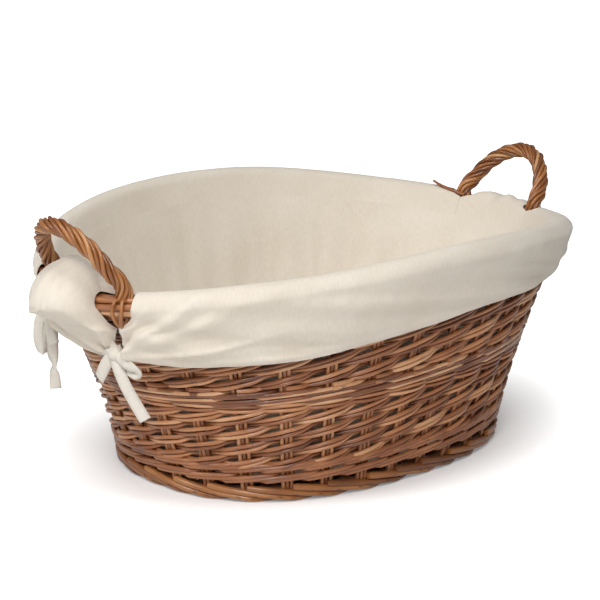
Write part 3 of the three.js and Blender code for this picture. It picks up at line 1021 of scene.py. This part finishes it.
end_flap("left_flap", -1, 33 * MM, 1.9, "flap_left")
end_flap("right_flap", 1, 6 * MM, 1.0, "flap_right")

# %% [markdown]
# ## Tape bows
#
# Below each handle leg a pair of flat cotton tapes, 12 mm wide, ties the flap
# to the skirt. Each bow is a knot, a loop and two tails. A tape is a narrow
# grid bent along a line, with a twist that says which way its flat side faces.
# The right end's bows mirror the left end's.

# %% Bend tapes into bows
TAPE = 12 * MM


def ribbon(bm, flat, knot, sides, facing, points):
    """Adds one tape to bm. A point is sideways, up and outwards in mm, and a twist
    in degrees."""
    sideways, up, out = sides
    line = through(points, 9)
    rail = [knot + (sideways * p[0] + up * p[1] + out * p[2]) * MM for p in line]
    made = bmesh.ops.create_grid(bm, x_segments=len(line) - 1, y_segments=3, size=0.5)
    walked_along = [0.0]
    for a, b in zip(rail, rail[1:]):
        walked_along.append(walked_along[-1] + (b - a).length)
    for vert in made["verts"]:
        i = round((vert.co.x + 0.5) * (len(line) - 1))
        across = vert.co.y
        along = (rail[min(i + 1, len(rail) - 1)] - rail[max(i - 1, 0)]).normalized()
        face = (facing - along * facing.dot(along)).normalized()
        edge = Matrix.Rotation(math.radians(line[i][3]), 3, along) @ along.cross(face)
        for corner in vert.link_loops:
            corner[flat].uv = (walked_along[i], across * TAPE)
        cup = face * ((0.25 - across * across) * 2.0 * MM)
        vert.co = rail[i] + edge * (across * TAPE) + cup
    return walked_along[-1]


def tape_bow(name, angle, rise, offset, pieces, node, mirror=1):
    """Mirror is -1 for a bow that mirrors the left end's."""
    out = outward(angle, rise)
    facing = Vector((0.675 if out.x > 0 else -0.675, -0.738, 0))
    sideways = Vector((-out.y, out.x, 0)) * mirror
    knot = on_wall(angle, rise, offset)
    bm = bmesh.new()
    flat = bm.loops.layers.uv.new("UVMap")
    length = 0.0
    sides = (sideways, Vector((0, 0, 1)), out)
    for points in pieces:
        length += ribbon(bm, flat, knot, sides, facing, points)
    for face in bm.faces:
        face.smooth = True
    mesh = bpy.data.meshes.new(name)
    bm.to_mesh(mesh)
    bm.free()
    mesh.materials.append(tape)
    piece = bpy.data.objects.new(name, mesh)
    bpy.context.scene.collection.objects.link(piece)
    solid = piece.modifiers.new("thickness", "SOLIDIFY")
    solid.thickness = 1.0 * MM
    solid.offset = 0
    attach(piece, "root")
    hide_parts(node)
    print(f"{name}: {length:.3f} m of tape")


NEAR = [
    [(-7, 4, 0, 0), (-3, 7, 4, 0), (4, 5, 8, 0), (7, -2, 7, 0), (3, -8, 3, 0), (-3, -9, 0, 0)],
    [(-8, -2, 1, 0), (-2, -1, 7, 0), (5, 2, 5, 0), (9, 4, 0, 0)],
    [(0, 0, 3, 0), (10, -2, 6, 10), (22, -6, 8, 20), (30, -12, 4, 40),
     (26, -17, -1, 20), (14, -12, 0, 0), (2, -3, 1, 0)],
    [(0, -1, 2, 0), (-6, -9, 5, 10), (-12, -18, 5, 15), (-18, -26, 3, 30), (-22, -31, 1, 40)],
    [(2, -2, 4, 30), (8, -12, 6, 20), (15, -30, 3, 10), (22, -48, -3, 0), (30, -66, -9, 0)],
]
FAR = [
    [(-5, 3, 0, 0), (0, 6, 4, 0), (5, 2, 5, 0), (4, -4, 4, 0), (0, -6, 1, 0)],
    [(0, 1, 2, 0), (-3, 4, 8, 0), (-5, -3, 13, 10), (-5, -20, 15, 20), (-4, -34, 14, 50),
     (-3, -38, 11, 80), (-2, -32, 8, 60), (-1, -14, 5, 30), (0, 0, 2, 0)],
    [(1, -2, 2, 0), (2, -16, 2, 0), (2, -36, 2, 10), (2, -50, 1, 65), (2, -58, 1, 30),
     (3, -74, 0, 0)],
    [(3, 0, 1, 0), (10, -4, 4, 0), (15, -12, 5, 10), (18, -22, 3, 20)],
]
tape_bow("left_near_tape", -math.pi + 0.125, 0.725, 17 * MM, NEAR, "left_near_bow")
tape_bow("left_far_tape", -math.pi - 0.406, 0.755, 20 * MM, FAR, "left_far_bow")
tape_bow("right_near_tape", -0.125, 0.725, 17 * MM, NEAR, "right_near_bow", -1)
tape_bow("right_far_tape", 0.406, 0.755, 20 * MM, FAR, "right_far_bow", -1)

# %% [markdown]
# ## Studio
#
# A white floor that runs on out of sight, a large soft light beside the
# camera, a smaller one past the left end, a third high above, and a white
# surround. The view is from a little above, past the left end, with a long
# lens. Azimuths are measured from the front, and negative ones lie towards the
# left handle.

# %% Floor, lights and camera
bm = bmesh.new()
bmesh.ops.create_grid(bm, x_segments=1, y_segments=1, size=12.0)
mesh = bpy.data.meshes.new("studio_floor")
bm.to_mesh(mesh)
bm.free()
floor = bpy.data.objects.new("studio_floor", mesh)
bpy.context.scene.collection.objects.link(floor)
paper, paper_tree, paper_shader = new_finish("white_paper")
paper_shader.inputs["Base Color"].default_value = colour("#f6f6f6")
paper_shader.inputs["Roughness"].default_value = 0.9
paper_shader.inputs["Emission Color"].default_value = colour("#ffffff")
# The sweep is lit from behind, more and more with distance, so it ends in white.
spot = add_node(paper_tree, "ShaderNodeTexCoord")
round_foot = add_node(
    paper_tree, "ShaderNodeMapping", {"Scale": (0.75, 1.0, 1.0)}, Vector=spot.outputs["Object"]
)
far_off = add_node(
    paper_tree, "ShaderNodeVectorMath", {"operation": "LENGTH"},
    Vector=round_foot.outputs["Vector"],
)
glow = add_node(
    paper_tree, "ShaderNodeMapRange",
    {"From Min": 0.17, "From Max": 0.30, "To Min": 0.20, "To Max": 1.0},
    Value=far_off.outputs["Value"],
)
seen = add_node(paper_tree, "ShaderNodeLightPath")
shown = maths(paper_tree, "MULTIPLY", glow.outputs["Result"], seen.outputs["Is Camera Ray"])
paper_tree.links.new(shown, paper_shader.inputs["Emission Strength"])
mesh.materials.append(paper)


def direction(azimuth, elevation):
    """The way from the basket towards an azimuth and elevation in degrees."""
    a, e = math.radians(azimuth), math.radians(elevation)
    return Vector((math.sin(a) * math.cos(e), -math.cos(a) * math.cos(e), math.sin(e)))


back = direction(-42.43, 14.63)
target = Vector((-10.8, 3.6, 159.6)) * MM
CAMERA_DISTANCE = 2.488
lens = bpy.data.cameras.new("camera")
lens.lens = 140
lens.sensor_width = 36
camera = bpy.data.objects.new("camera", lens)
camera.location = target + back * CAMERA_DISTANCE
camera.rotation_euler = back.to_track_quat("Z", "Y").to_euler()
bpy.context.scene.collection.objects.link(camera)
bpy.context.scene.camera = camera


def soft_light(name, azimuth, elevation, distance, size, power):
    light = bpy.data.lights.new(name, "AREA")
    light.shape = "DISK"
    light.size = size
    light.energy = power
    lamp = bpy.data.objects.new(name, light)
    way = direction(azimuth, elevation)
    lamp.location = Vector((0, 0, 0.15)) + way * distance
    lamp.rotation_euler = way.to_track_quat("Z", "Y").to_euler()
    bpy.context.scene.collection.objects.link(lamp)


soft_light("key_light", -45, 36, 2.6, 1.0, 29)
soft_light("gloss_light", -104, 36, 2.4, 0.7, 14)
soft_light("top_light", -40, 68, 2.6, 0.9, 17)

world = bpy.data.worlds.new("studio")
world.use_nodes = True
sky = world.node_tree.nodes["Background"]
sky.inputs["Color"].default_value = colour("#ffffff")
rays = add_node(world.node_tree, "ShaderNodeLightPath")
lift = add_node(
    world.node_tree, "ShaderNodeMapRange", {"To Min": 0.20, "To Max": 1.2},
    Value=rays.outputs["Is Camera Ray"],
)
world.node_tree.links.new(lift.outputs["Result"], sky.inputs["Strength"])
bpy.context.scene.world = world
bpy.context.scene.view_settings.view_transform = "Standard"
